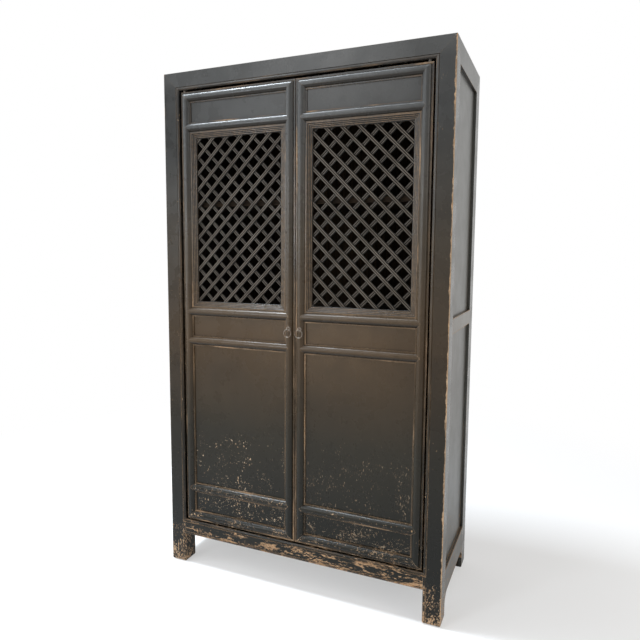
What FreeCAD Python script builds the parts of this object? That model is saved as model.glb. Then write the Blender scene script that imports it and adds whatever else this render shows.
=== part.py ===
import FreeCAD, Part
import math
import os
import Sketcher

# A two-door book cabinet: a mitred carcass on four feet, and two framed doors with lattice windows.
#
# Every piece is drawn in cabinet coordinates: x from the left side, y back from the face of the
# posts, z up from the floor. Door pieces are drawn from their door's hinge edge and bottom edge.
# The finished pieces stand about the origin, which is the middle of the whole depth, pulls included.
# The right-hand pieces are mirror images of the left-hand ones.

SIZES = {
    # Outside of the cabinet
    "cabinet_width": 1060,
    "cabinet_depth": 450,
    "cabinet_height": 1850,
    # Posts and top frame
    "post_width": 62,
    "post_depth": 60,
    "side_top_rail_height": 70,
    "corner_tenon_inset": 27,
    "corner_tenon_width": 20,
    "corner_tenon_cover": 14,
    "top_board_drop": 8,
    "top_board_thickness": 12,
    # Bottom frame
    "foot_height": 115,
    "bottom_rail_height": 59,
    "front_rail_thickness": 45,
    "back_rail_thickness": 40,
    "side_rail_thickness": 30,
    "side_rail_underside": 80,
    "side_rail_height": 86,
    "bracket_radius": 38,
    "bottom_board_thickness": 16,
    "board_rebate": 8,
    # Middle rails of the sides and the back
    "mid_rail_underside": 953.5,
    "mid_rail_height": 50,
    # Side and back panels
    "side_panel_recess": 10,
    "side_panel_thickness": 10,
    "back_panel_recess": 10,
    "back_panel_thickness": 8,
    "groove_depth": 8,
    # Tenons of the carcass rails
    "rail_tenon_length": 26,
    "rail_tenon_inset": 12,
    "front_tenon_setback": 16,
    "front_tenon_thickness": 12,
    "back_tenon_recess": 20,
    # Bead round the door opening
    "bead_width": 10,
    "bead_groove_half_width": 1.2,
    "bead_groove_depth": 1.5,
    "bead_flat": 2,
    "bead_fall": 4,
    "bead_joint_depth": 6,
    "foot_rounding": 9,
    # Shelves
    "shelf_thickness": 18,
    "shelf_setback": 38,
    "lower_shelf_top": 560,
    "middle_shelf_top": 985,
    "upper_shelf_top": 1390,
    "bearer_width": 20,
    "bearer_height": 22,
    # Gaps round the doors
    "hinge_gap": 7,
    "meeting_gap": 3,
    "top_gap": 7,
    "bottom_gap": 4,
    # Section of the door members, measured back from the face of the posts
    "crest_reach": 2,
    "fillet_setback": 9,
    "shoulder_setback": 11,
    "door_tenon_setback": 12,
    "panel_setback": 13,
    "door_back_setback": 29,
    "stile_width": 38.5,
    "edge_fillet_width": 5.5,
    "fillet_width": 4,
    "crest_run": 14.5,
    "door_panel_thickness": 8,
    "door_groove_depth": 6,
    "door_tenon_thickness": 10,
    "door_tenon_length": 28,
    "door_tenon_inset": 8,
    # Heights of the door panels
    "base_panel_height": 72.5,
    "lower_panel_height": 533.5,
    "waist_panel_height": 72.5,
    "frieze_panel_height": 70,
    # Lattice
    "reed_width": 5,
    "reed_step": 2.25,
    "lip_thickness": 2,
    "lattice_rebate": 3,
    "bar_spacing": 57.75,
    "bar_width": 13.5,
    "bar_thickness": 4.5,
    "bar_chamfer": 2.4,
    "bar_groove_half_width": 2,
    "bar_groove_depth": 1.6,
    # Wooden pivots of the doors
    "pivot_inset": 13,
    "pivot_setback": 15,
    "pivot_radius": 6.5,
    "pivot_length": 14,
    "pivot_clearance": 0.08,
    "pivot_end_gap": 0.3,
    # Iron pulls
    "pull_height": 946.5,
    "pull_inset": 20,
    "plate_radius": 10,
    "plate_thickness": 1.8,
    "plate_seat_depth": 1.5,
    "eye_radius": 5,
    "eye_wire_radius": 1.5,
    "ring_radius": 14,
    "ring_wire_radius": 2,
    "ring_rest_gap": 0.3,
    "shank_radius": 2.2,
    "shank_clearance": 0.1,
    "clinch_length": 13,
    "clinch_width": 3.4,
    "clinch_thickness": 1.6,
    # Overrun of a cut past the face that it leaves
    "overrun": 5,
}

# Where along its spacing the first bar of each lattice layer crosses the top of the window
FRONT_BAR_PHASE_SHARE = 0.26
BACK_BAR_PHASE_SHARE = 0.86

# The least part of a piece that a cut may take and still count as a cut
LEAST_CUT_SHARE = 0.00001

REED_COUNT = 4
LATTICE_ANGLE = 45
QUARTER_TURN = 90

doc = FreeCAD.newDocument("BookCabinet")
sheet = doc.addObject("Spreadsheet::Sheet", "Sizes")
for row, (alias, millimetres) in enumerate(SIZES.items(), start=1):
    sheet.set(f"A{row}", alias.replace("_", " "))
    sheet.set(f"B{row}", str(millimetres))
    sheet.setAlias(f"B{row}", alias)
doc.recompute()


class Size:
    """A length that keeps its number and the expression over the sheet's cells that gives it."""

    def __init__(self, number, text):
        self.number = number
        self.text = text

    def __add__(self, other):
        other = as_size(other)
        return Size(self.number + other.number, f"({self.text} + {other.text})")

    def __radd__(self, other):
        return as_size(other) + self

    def __sub__(self, other):
        other = as_size(other)
        return Size(self.number - other.number, f"({self.text} - {other.text})")

    def __rsub__(self, other):
        return as_size(other) - self

    def __mul__(self, factor):
        factor = as_size(factor)
        return Size(self.number * factor.number, f"({self.text} * {factor.text})")

    def __rmul__(self, factor):
        return self * factor

    def __truediv__(self, divisor):
        divisor = as_size(divisor)
        return Size(self.number / divisor.number, f"({self.text} / {divisor.text})")

    def __neg__(self):
        return Size(-self.number, f"(-1 * {self.text})")


def as_size(value):
    return value if isinstance(value, Size) else Size(value, repr(value))


class Sheet:
    """The sheet's cells as sizes, each under its alias."""


s = Sheet()
for alias in SIZES:
    setattr(s, alias, Size(sheet.get(alias), f"Sizes.{alias}"))

# Places that follow from the sizes

nothing = Size(0, "0")
cabinet_left = -s.cabinet_width / 2
eye_reach = (s.crest_reach - s.plate_seat_depth + s.plate_thickness
             + s.eye_radius + s.eye_wire_radius)
pull_reach = eye_reach + s.eye_radius + s.eye_wire_radius
cabinet_front = (pull_reach - s.cabinet_depth) / 2

opening_right = s.cabinet_width - s.post_width
opening_bottom = s.foot_height + s.bottom_rail_height
opening_top = s.cabinet_height - s.post_width
bead_reach = s.bead_width + s.bead_groove_half_width
bead_bottom = opening_bottom - bead_reach
foot_bead_top = s.foot_height + bead_reach
side_start = s.post_depth
side_end = s.cabinet_depth - s.post_depth
side_top_rail_underside = s.cabinet_height - s.side_top_rail_height
side_rail_top = s.side_rail_underside + s.side_rail_height
mid_rail_top = s.mid_rail_underside + s.mid_rail_height
side_panel_back = s.side_panel_recess + s.side_panel_thickness
back_rail_front = s.cabinet_depth - s.back_rail_thickness
back_panel_rear = s.cabinet_depth - s.back_panel_recess
back_panel_front = back_panel_rear - s.back_panel_thickness
back_tenon_front = s.cabinet_depth - s.back_tenon_recess - s.front_tenon_thickness
top_board_top = s.cabinet_height - s.top_board_drop
top_board_bottom = top_board_top - s.top_board_thickness
corner_tenon_top = s.cabinet_height - s.corner_tenon_cover

door_left = s.post_width + s.hinge_gap
door_bottom = opening_bottom + s.bottom_gap
door_width = (opening_right - s.post_width - 2 * s.hinge_gap - s.meeting_gap) / 2
door_height = opening_top - s.top_gap - door_bottom
door_inner_right = door_width - s.stile_width
rail_height = 2 * (s.fillet_width + s.crest_run)
crest_inset = s.fillet_width + s.crest_run
panel_rear = s.panel_setback + s.door_panel_thickness
door_tenon_rear = s.door_tenon_setback + s.door_tenon_thickness

base_panel_z = s.stile_width
base_rail_z = base_panel_z + s.base_panel_height
lower_panel_z = base_rail_z + rail_height
waist_rail_z = lower_panel_z + s.lower_panel_height
waist_panel_z = waist_rail_z + rail_height
lattice_rail_z = waist_panel_z + s.waist_panel_height
lattice_z = lattice_rail_z + rail_height
top_rail_z = door_height - s.stile_width
frieze_panel_z = top_rail_z - s.frieze_panel_height
frieze_rail_z = frieze_panel_z - rail_height
lattice_height = frieze_rail_z - lattice_z
middle_rails = {
    "frieze_rail": frieze_rail_z,
    "lattice_rail": lattice_rail_z,
    "waist_rail": waist_rail_z,
    "base_rail": base_rail_z,
}
door_panels = {
    "frieze_panel": (frieze_panel_z, s.frieze_panel_height),
    "waist_panel": (waist_panel_z, s.waist_panel_height),
    "lower_panel": (lower_panel_z, s.lower_panel_height),
    "base_panel": (base_panel_z, s.base_panel_height),
}

CABINET = (cabinet_left, cabinet_front, nothing)
DOOR = (cabinet_left + door_left, cabinet_front, door_bottom)
nodes = {}


# Drawing helpers


def bind(item, prop, size):
    item.setExpression(prop, as_size(size).text)


def place(item, corner):
    for axis, size in zip("xyz", corner):
        bind(item, f"Placement.Base.{axis}", size)


def shifted(corner, x=0, y=0, z=0):
    return (corner[0] + x, corner[1] + y, corner[2] + z)


def origin_plane(body, role):
    return [item for item in body.Origin.OriginFeatures if item.Role == role][0]


def new_body(label, corner):
    body = doc.addObject("PartDesign::Body", label)
    body.Label = label
    place(body, corner)
    return body


def arc_between(start, end, centre):
    """The short arc from start to end about centre, and whether it runs backwards."""
    radius = start.distanceToPoint(centre)
    first = math.atan2(start.y - centre.y, start.x - centre.x)
    last = math.atan2(end.y - centre.y, end.x - centre.x)
    backwards = math.sin(last - first) < 0
    if backwards:
        first, last = last, first
    if last < first:
        last += 2 * math.pi
    circle = Part.Circle(centre, FreeCAD.Vector(0, 0, 1), radius)
    return Part.ArcOfCircle(circle, first, last), backwards


def arc_centre(start, end, rule):
    """The point at the same distance from start and end, on the line that the rule names."""
    along, size = rule
    mid = (start + end) * 0.5
    chord = end - start
    if along == "x":
        rise = (size.number - mid.x) * chord.x / chord.y
        return FreeCAD.Vector(size.number, mid.y - rise, 0)
    run = (size.number - mid.y) * chord.y / chord.x
    return FreeCAD.Vector(mid.x - run, size.number, 0)


def tie(sketch, name, kind, geometry, point, size):
    """Hold one coordinate of a point at a size of the sheet."""
    index = sketch.addConstraint(Sketcher.Constraint(kind, -1, 1, geometry, point, size.number))
    sketch.renameConstraint(index, name)
    sketch.setExpression(f"Constraints.{name}", size.text)


def draw(body, role, offset, loops):
    """Closed loops on one of the body's planes, moved along the plane's normal by offset.

    A corner is (x, y), or (x, y, rule) where an arc leads to it. The rule is ("x", size) or
    ("y", size), the line on which the arc's centre lies.
    """
    sketch = body.newObject("Sketcher::SketchObject", f"{body.Name}_outline")
    sketch.AttachmentSupport = (origin_plane(body, role), [""])
    sketch.MapMode = "FlatFace"
    bind(sketch, "AttachmentOffset.Base.z", offset)
    for number, loop in enumerate(loops):
        corners = [tuple(as_size(size) for size in corner[:2]) for corner in loop]
        points = [FreeCAD.Vector(x.number, y.number, 0) for x, y in corners]
        first_geometry = sketch.GeometryCount
        ends = []
        for index, point in enumerate(points):
            target = (index + 1) % len(points)
            rule = loop[target][2] if len(loop[target]) > 2 else None
            if rule is None:
                geometry = sketch.addGeometry(Part.LineSegment(point, points[target]))
                ends.append((geometry, 1, 2))
                continue
            arc, backwards = arc_between(point, points[target], arc_centre(point, points[target], rule))
            geometry = sketch.addGeometry(arc)
            ends.append((geometry, 2, 1) if backwards else (geometry, 1, 2))
            kind = "DistanceX" if rule[0] == "x" else "DistanceY"
            tie(sketch, f"centre_{number}_{index}", kind, geometry, 3, rule[1])
        for index, (geometry, start, end) in enumerate(ends):
            following, following_start, _ = ends[(index + 1) % len(ends)]
            sketch.addConstraint(Sketcher.Constraint("Coincident", geometry, end, following, following_start))
        for index, (x, y) in enumerate(corners):
            geometry, start, _ = ends[index]
            tie(sketch, f"x_{number}_{index}", "DistanceX", geometry, start, x)
            tie(sketch, f"y_{number}_{index}", "DistanceY", geometry, start, y)
        assert sketch.GeometryCount - first_geometry == len(points)
    return sketch


def draw_circle(body, role, offset, x, y, radius):
    sketch = body.newObject("Sketcher::SketchObject", f"{body.Name}_circle")
    sketch.AttachmentSupport = (origin_plane(body, role), [""])
    sketch.MapMode = "FlatFace"
    bind(sketch, "AttachmentOffset.Base.z", offset)
    centre = FreeCAD.Vector(x.number, y.number, 0)
    geometry = sketch.addGeometry(Part.Circle(centre, FreeCAD.Vector(0, 0, 1), radius.number))
    tie(sketch, "centre_x", "DistanceX", geometry, 3, x)
    tie(sketch, "centre_y", "DistanceY", geometry, 3, y)
    index = sketch.addConstraint(Sketcher.Constraint("Radius", geometry, radius.number))
    sketch.renameConstraint(index, "radius")
    sketch.setExpression("Constraints.radius", radius.text)
    return sketch


def feature(body, kind, sketch, length, backwards):
    """A pad along the sketch's normal or a pocket against it; backwards turns either round."""
    item = body.newObject(f"PartDesign::{kind}", f"{body.Name}_{kind.lower()}")
    item.Profile = sketch
    item.Reversed = backwards
    bind(item, "Length", length)
    sketch.Visibility = False
    return item


def pad(body, sketch, length, backwards=False):
    return feature(body, "Pad", sketch, length, backwards)


def pocket(body, sketch, length, backwards=False):
    return feature(body, "Pocket", sketch, length, backwards)


def turned(corners):
    """The same corners with across and depth exchanged."""
    return [(depth, across, *(("y", size) for _, size in rule)) for across, depth, *rule in corners]


def backwards_along(corners):
    """An open run of corners from its other end, with each arc led to from its other side."""
    rules = [corner[2:] for corner in corners[1:]] + [()]
    return [corner[:2] + rule for corner, rule in zip(corners, rules)][::-1]


def rectangle(x_start, x_end, y_start, y_end):
    return [(x_start, y_start), (x_end, y_start), (x_end, y_end), (x_start, y_end)]


def box(label, corner, x, y, z):
    """A box between three pairs of places."""
    item = doc.addObject("Part::Box", label)
    item.Label = label
    bind(item, "Length", x[1] - x[0])
    bind(item, "Width", y[1] - y[0])
    bind(item, "Height", z[1] - z[0])
    place(item, shifted(corner, x[0], y[0], z[0]))
    return item


def cylinder_along_y(label, corner, x, y, z, radius):
    item = doc.addObject("Part::Cylinder", label)
    bind(item, "Radius", radius)
    bind(item, "Height", y[1] - y[0])
    item.Placement = FreeCAD.Placement(
        FreeCAD.Vector(0, 0, 0), FreeCAD.Rotation(FreeCAD.Vector(1, 0, 0), -QUARTER_TURN))
    place(item, shifted(corner, x, y[0], z))
    return item


def torus(label, corner, x, y, z, axis, radius, wire_radius):
    """A ring about x or y."""
    turn_about = FreeCAD.Vector(0, 1, 0) if axis == "x" else FreeCAD.Vector(1, 0, 0)
    item = doc.addObject("Part::Torus", label)
    item.Label = label
    bind(item, "Radius1", radius)
    bind(item, "Radius2", wire_radius)
    item.Placement = FreeCAD.Placement(
        FreeCAD.Vector(0, 0, 0), FreeCAD.Rotation(turn_about, QUARTER_TURN))
    place(item, shifted(corner, x, y, z))
    return item


def combine(kind, label, items):
    item = doc.addObject(f"Part::{kind}", label)
    item.Label = label
    if kind == "Cut":
        item.Base, item.Tool = items
    elif kind == "Compound":
        item.Links = items
    else:
        item.Shapes = items
    return item


def mirror(source, label, base=None, normal=(1, 0, 0)):
    item = doc.addObject("Part::Mirroring", label)
    item.Label = label
    item.Source = source
    item.Normal = FreeCAD.Vector(*normal)
    for axis, size in zip("xyz", base or (0, 0, 0)):
        bind(item, f"Base.{axis}", size)
    return item


def keep(name, item):
    assert name not in nodes
    item.Label = name
    nodes[name] = item


def keep_pair(name, item):
    """Keep a left-hand piece and its mirror image."""
    keep(name, item)
    right_name = name.replace("left", "right")
    keep(right_name, mirror(item, right_name))


# Carcass


def corner_tenon(x_outer, side, y_outer, inward):
    """The square tenon that a post hides in the mitred corner above it."""
    x_start = x_outer + side * s.corner_tenon_inset
    x_end = x_start + side * s.corner_tenon_width
    y_start = y_outer + inward * s.corner_tenon_inset
    y_end = y_start + inward * s.corner_tenon_width
    return rectangle(x_start, x_end, y_start, y_end)


def bead_edge(x_edge, inward):
    """The beaded edge of a face, from the face to the opening, as (across, depth)."""
    groove = x_edge + inward * s.bead_width
    crown = groove - inward * s.bead_flat
    return [
        (groove + inward * s.bead_groove_half_width, 0),
        (groove, s.bead_groove_depth),
        (groove - inward * s.bead_groove_half_width, 0),
        (crown, 0),
        (x_edge, s.bead_fall, ("x", crown)),
    ]


def round_foot(body, y_outer, inward):
    """Round the four edges of a post's end on the floor."""
    radius = s.foot_rounding
    y_inner = y_outer + inward * s.post_depth
    across = []
    along = []
    for loops, edge, side in ((across, nothing, 1), (across, s.post_width, -1),
                              (along, y_outer, inward), (along, y_inner, -inward)):
        start = edge + side * radius
        loops.append([(edge, 0), (start, 0), (edge, radius, ("x", start))])
    pocket(body, draw(body, "XZ_Plane", -y_outer + inward * s.overrun, across),
           s.post_depth + 2 * s.overrun, inward < 0)
    pocket(body, draw(body, "YZ_Plane", s.post_width, along), s.post_width)


def post(label, y_outer, inward):
    """A left-hand post. y_outer is its outer face and inward is 1 at the front, -1 at the back."""
    body = new_body(label, CABINET)
    y_inner = y_outer + inward * s.post_depth
    plain = rectangle(0, s.post_width, y_outer, y_inner)
    if inward > 0:
        beaded = [(0, 0)] + bead_edge(s.post_width, -1) + [(s.post_width, y_inner), (0, y_inner)]
        pad(body, draw(body, "XY_Plane", 0, [beaded]), foot_bead_top)
        pad(body, draw(body, "XY_Plane", foot_bead_top, [plain]), bead_bottom - foot_bead_top)
        pad(body, draw(body, "XY_Plane", bead_bottom, [beaded]), s.cabinet_height - bead_bottom)
        bead_mitres = [
            [(s.post_width - bead_reach, bead_bottom), (s.post_width, bead_bottom),
             (s.post_width, opening_bottom)],
            [(s.post_width - bead_reach, foot_bead_top), (s.post_width, foot_bead_top),
             (s.post_width, s.foot_height)],
        ]
        pocket(body, draw(body, "XZ_Plane", s.overrun, bead_mitres), s.overrun + s.bead_joint_depth)
    else:
        pad(body, draw(body, "XY_Plane", 0, [plain]), s.cabinet_height)
    round_foot(body, y_outer, inward)
    mitre_x = [(0, s.cabinet_height), (s.post_width, opening_top), (s.post_width, s.cabinet_height)]
    pocket(body, draw(body, "XZ_Plane", -y_outer + inward * s.overrun, [mitre_x]),
           s.post_depth + 2 * s.overrun, inward < 0)
    mitre_y = [(y_outer, s.cabinet_height), (y_inner, opening_top), (y_inner, s.cabinet_height)]
    pocket(body, draw(body, "YZ_Plane", s.post_width, [mitre_y]), s.post_width)
    pad(body, draw(body, "XY_Plane", opening_top, [corner_tenon(nothing, 1, y_outer, inward)]),
        corner_tenon_top - opening_top)
    groove_bottom = side_rail_top - s.groove_depth
    groove = rectangle(s.side_panel_recess, side_panel_back, y_inner - inward * s.groove_depth, y_inner)
    pocket(body, draw(body, "XY_Plane", groove_bottom, [groove]), opening_top - groove_bottom, True)
    mortises = [rectangle(s.side_panel_recess, side_panel_back,
                          underside + s.rail_tenon_inset, top - s.rail_tenon_inset)
                for underside, top in ((s.side_rail_underside, side_rail_top),
                                       (s.mid_rail_underside, mid_rail_top))]
    pocket(body, draw(body, "XZ_Plane", -y_inner, mortises), s.rail_tenon_length, inward > 0)
    tenon_front = s.front_tenon_setback if inward > 0 else back_tenon_front
    tenon_rear = tenon_front + s.front_tenon_thickness
    low = s.foot_height + s.rail_tenon_inset
    high = opening_bottom - s.rail_tenon_inset
    across = [rectangle(tenon_front, tenon_rear, low, high)]
    if inward < 0:
        across.append(rectangle(tenon_front, tenon_rear, s.mid_rail_underside + s.rail_tenon_inset,
                                mid_rail_top - s.rail_tenon_inset))
    pocket(body, draw(body, "YZ_Plane", s.post_width, across), s.rail_tenon_length)
    if inward < 0:
        back_groove = rectangle(s.post_width - s.groove_depth, s.post_width,
                                back_panel_front, back_panel_rear)
        back_groove_bottom = opening_bottom - s.groove_depth
        pocket(body, draw(body, "XY_Plane", back_groove_bottom, [back_groove]),
               opening_top + s.groove_depth - back_groove_bottom, True)
    return body


def cross_top_rail(label, y_outer, inward):
    """The top rail along the front or the back, mitred at both ends."""
    body = new_body(label, CABINET)
    y_inner = y_outer + inward * s.post_depth
    board_groove = [
        (y_inner, top_board_top),
        (y_inner - inward * s.groove_depth, top_board_top),
        (y_inner - inward * s.groove_depth, top_board_bottom),
        (y_inner, top_board_bottom),
    ]
    if inward > 0:
        lower_edge = [(0, s.cabinet_height)] + turned(bead_edge(opening_top, 1))
    else:
        lower_edge = [
            (y_outer, s.cabinet_height),
            (y_outer, opening_top),
            (back_panel_rear, opening_top),
            (back_panel_rear, opening_top + s.groove_depth),
            (back_panel_front, opening_top + s.groove_depth),
            (back_panel_front, opening_top),
        ]
    outline = lower_edge + [(y_inner, opening_top)] + board_groove[::-1] + [(y_inner, s.cabinet_height)]
    pad(body, draw(body, "YZ_Plane", 0, [outline]), s.cabinet_width)
    face_mitres = []
    top_mitres = []
    tenons = []
    for x_outer, side in ((nothing, 1), (s.cabinet_width, -1)):
        x_inner = x_outer + side * s.post_width
        face_mitres.append([(x_outer, s.cabinet_height), (x_outer, opening_top), (x_inner, opening_top)])
        top_mitres.append([(x_outer, y_outer), (x_outer, y_inner), (x_inner, y_inner)])
        tenons.append(corner_tenon(x_outer, side, y_outer, inward))
    pocket(body, draw(body, "XZ_Plane", -y_outer + inward * s.overrun, face_mitres),
           s.post_depth + 2 * s.overrun, inward < 0)
    pocket(body, draw(body, "XY_Plane", opening_top, top_mitres), s.post_width, True)
    pocket(body, draw(body, "XY_Plane", opening_top, tenons), corner_tenon_top - opening_top, True)
    return body


def side_top_rail(label):
    body = new_body(label, CABINET)
    outline = [
        (0, s.cabinet_height),
        (0, side_top_rail_underside),
        (s.side_panel_recess, side_top_rail_underside),
        (s.side_panel_recess, side_top_rail_underside + s.groove_depth),
        (side_panel_back, side_top_rail_underside + s.groove_depth),
        (side_panel_back, side_top_rail_underside),
        (s.post_width, side_top_rail_underside),
        (s.post_width, top_board_bottom),
        (s.post_width - s.groove_depth, top_board_bottom),
        (s.post_width - s.groove_depth, top_board_top),
        (s.post_width, top_board_top),
        (s.post_width, s.cabinet_height),
    ]
    pad(body, draw(body, "XZ_Plane", 0, [outline]), s.cabinet_depth, True)
    face_mitres = []
    top_mitres = []
    tenons = []
    for y_outer, inward in ((nothing, 1), (s.cabinet_depth, -1)):
        y_inner = y_outer + inward * s.post_depth
        face_mitres.append([(y_outer, s.cabinet_height), (y_inner, opening_top),
                            (y_inner, side_top_rail_underside), (y_outer, side_top_rail_underside)])
        top_mitres.append([(0, y_outer), (s.post_width, y_outer), (s.post_width, y_inner)])
        tenons.append(corner_tenon(nothing, 1, y_outer, inward))
    pocket(body, draw(body, "YZ_Plane", s.post_width, face_mitres), s.post_width)
    pocket(body, draw(body, "XY_Plane", side_top_rail_underside, top_mitres),
           s.side_top_rail_height, True)
    pocket(body, draw(body, "XY_Plane", opening_top, tenons), corner_tenon_top - opening_top, True)
    return body


def side_rail(label, underside, height, bracketed):
    """A rail between the front and rear post of one side, with tenons into both."""
    body = new_body(label, CABINET)
    if bracketed:
        tip = underside - s.bracket_radius
        inner_start = side_start + s.bracket_radius
        inner_end = side_end - s.bracket_radius
        outline = [
            (side_start, underside + height),
            (side_start, tip),
            (inner_start, underside, ("x", inner_start)),
            (inner_end, underside),
            (side_end, tip, ("x", inner_end)),
            (side_end, underside + height),
        ]
    else:
        outline = rectangle(side_start, side_end, underside, underside + height)
    pad(body, draw(body, "YZ_Plane", 0, [outline]), s.side_rail_thickness)
    tenon = rectangle(side_start - s.rail_tenon_length, side_end + s.rail_tenon_length,
                      underside + s.rail_tenon_inset, underside + height - s.rail_tenon_inset)
    pad(body, draw(body, "YZ_Plane", s.side_panel_recess, [tenon]), s.side_panel_thickness)
    top = underside + height
    grooves = [rectangle(s.side_panel_recess, side_panel_back, top - s.groove_depth, top)]
    if not bracketed:
        grooves.append(rectangle(s.side_panel_recess, side_panel_back, underside, underside + s.groove_depth))
    pocket(body, draw(body, "XZ_Plane", -side_start, grooves), side_end - side_start)
    return body


def cross_rail(label, outline, tenon_front, underside, height):
    """A rail along the front or the back between the posts, with tenons into both."""
    body = new_body(label, CABINET)
    pad(body, draw(body, "YZ_Plane", s.post_width, [outline]), opening_right - s.post_width)
    tenon = rectangle(tenon_front, tenon_front + s.front_tenon_thickness,
                      underside + s.rail_tenon_inset, underside + height - s.rail_tenon_inset)
    pad(body, draw(body, "YZ_Plane", s.post_width - s.rail_tenon_length, [tenon]),
        opening_right - s.post_width + 2 * s.rail_tenon_length)
    return body


def bottom_front_rail():
    back = s.front_rail_thickness
    lower_bead = turned(bead_edge(s.foot_height, 1))
    upper_bead = turned(bead_edge(opening_bottom, -1))
    outline = upper_bead + [
        (back - s.board_rebate, opening_bottom),
        (back - s.board_rebate, opening_bottom - s.bottom_board_thickness),
        (back, opening_bottom - s.bottom_board_thickness),
        (back, s.foot_height),
    ] + backwards_along(lower_bead)
    body = cross_rail("bottom_front_rail", outline, s.front_tenon_setback,
                      s.foot_height, s.bottom_rail_height)
    left_tip, right_tip = s.post_width - bead_reach, opening_right + bead_reach
    mitres = []
    for bead, edge, limit in ((upper_bead, opening_bottom, bead_bottom),
                              (lower_bead, s.foot_height, foot_bead_top)):
        tongue = bead + [(s.bead_joint_depth, edge), (s.bead_joint_depth, limit)]
        pad(body, draw(body, "YZ_Plane", left_tip, [tongue]), right_tip - left_tip)
        for tip, shoulder in ((left_tip, s.post_width), (right_tip, opening_right)):
            mitres.append([(tip, limit), (shoulder, edge), (tip, edge)])
    pocket(body, draw(body, "XZ_Plane", s.overrun, mitres), s.overrun + s.bead_joint_depth)
    for x in pivot_places():
        pocket(body, draw_circle(body, "XY_Plane", opening_bottom, x, s.pivot_setback,
                                 s.pivot_radius + s.pivot_clearance), s.pivot_length)
    return body


def bottom_rear_rail():
    rear = s.cabinet_depth
    outline = [
        (back_rail_front, s.foot_height),
        (rear, s.foot_height),
        (rear, opening_bottom),
        (back_panel_rear, opening_bottom),
        (back_panel_rear, opening_bottom - s.groove_depth),
        (back_panel_front, opening_bottom - s.groove_depth),
        (back_panel_front, opening_bottom),
        (back_rail_front + s.board_rebate, opening_bottom),
        (back_rail_front + s.board_rebate, opening_bottom - s.bottom_board_thickness),
        (back_rail_front, opening_bottom - s.bottom_board_thickness),
    ]
    return cross_rail("bottom_rear_rail", outline, back_tenon_front, s.foot_height, s.bottom_rail_height)


def back_mid_rail():
    rear = s.cabinet_depth
    low, high = s.mid_rail_underside, mid_rail_top
    outline = [
        (back_rail_front, low),
        (back_panel_front, low),
        (back_panel_front, low + s.groove_depth),
        (back_panel_rear, low + s.groove_depth),
        (back_panel_rear, low),
        (rear, low),
        (rear, high),
        (back_panel_rear, high),
        (back_panel_rear, high - s.groove_depth),
        (back_panel_front, high - s.groove_depth),
        (back_panel_front, high),
        (back_rail_front, high),
    ]
    return cross_rail("back_mid_rail", outline, back_tenon_front, low, s.mid_rail_height)


def board(label, top, thickness, front, rear):
    """A board that fills the inside, notched round the four posts."""
    body = new_body(label, CABINET)
    left, right = s.side_rail_thickness, s.cabinet_width - s.side_rail_thickness
    outline = [
        (s.post_width, front), (opening_right, front),
        (opening_right, side_start), (right, side_start),
        (right, side_end), (opening_right, side_end),
        (opening_right, rear), (s.post_width, rear),
        (s.post_width, side_end), (left, side_end),
        (left, side_start), (s.post_width, side_start),
    ]
    pad(body, draw(body, "XY_Plane", top - thickness, [outline]), thickness)
    return body


def pivot_places():
    """Both doors' pivot axes along the width."""
    left = door_left + s.pivot_inset
    return left, s.cabinet_width - left


def make_carcass():
    keep_pair("front_left_post", post("front_left_post", nothing, 1))
    keep_pair("rear_left_post", post("rear_left_post", s.cabinet_depth, -1))
    front_rail = cross_top_rail("top_front_rail", nothing, 1)
    for x in pivot_places():
        pocket(front_rail, draw_circle(front_rail, "XY_Plane", opening_top, x, s.pivot_setback,
                                       s.pivot_radius + s.pivot_clearance), s.pivot_length, True)
    keep("top_front_rail", front_rail)
    keep("top_rear_rail", cross_top_rail("top_rear_rail", s.cabinet_depth, -1))
    keep_pair("top_left_rail", side_top_rail("top_left_rail"))
    keep("top_board", box("top_board", CABINET,
                          (s.post_width - s.groove_depth, opening_right + s.groove_depth),
                          (side_start - s.groove_depth, side_end + s.groove_depth),
                          (top_board_bottom, top_board_top)))
    keep("bottom_front_rail", bottom_front_rail())
    keep("bottom_rear_rail", bottom_rear_rail())
    keep_pair("bottom_left_rail", side_rail("bottom_left_rail", s.side_rail_underside,
                                            s.side_rail_height, True))
    keep_pair("left_mid_rail", side_rail("left_mid_rail", s.mid_rail_underside,
                                         s.mid_rail_height, False))
    keep("back_mid_rail", back_mid_rail())
    keep("bottom_board", board("bottom_board", opening_bottom, s.bottom_board_thickness,
                               s.front_rail_thickness - s.board_rebate,
                               back_rail_front + s.board_rebate))
    spans = {
        "upper": (mid_rail_top - s.groove_depth, side_top_rail_underside + s.groove_depth),
        "lower": (side_rail_top - s.groove_depth, s.mid_rail_underside + s.groove_depth),
    }
    for level, z in spans.items():
        name = f"left_side_{level}_panel"
        keep_pair(name, box(name, CABINET, (s.side_panel_recess, side_panel_back),
                            (side_start - s.groove_depth, side_end + s.groove_depth), z))
    back_spans = (
        (mid_rail_top - s.groove_depth, opening_top + s.groove_depth),
        (opening_bottom - s.groove_depth, s.mid_rail_underside + s.groove_depth),
    )
    back_boards = [box("back_board", CABINET,
                       (s.post_width - s.groove_depth, opening_right + s.groove_depth),
                       (back_panel_front, back_panel_rear), z) for z in back_spans]
    keep("back_panels", combine("Compound", "back_panels", back_boards))


def make_shelves():
    boards = []
    bearers = []
    for top in (s.lower_shelf_top, s.middle_shelf_top, s.upper_shelf_top):
        boards.append(board("shelf", top, s.shelf_thickness, s.shelf_setback, back_rail_front))
        z = (top - s.shelf_thickness - s.bearer_height, top - s.shelf_thickness)
        left = (s.side_rail_thickness, s.side_rail_thickness + s.bearer_width)
        right = (s.cabinet_width - left[1], s.cabinet_width - left[0])
        for x in (left, right):
            bearers.append(box("bearer", CABINET, x, (side_start, side_end), z))
    keep("shelves", combine("Compound", "shelves", boards))
    keep("shelf_bearers", combine("Compound", "shelf_bearers", bearers))


# Doors


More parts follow.
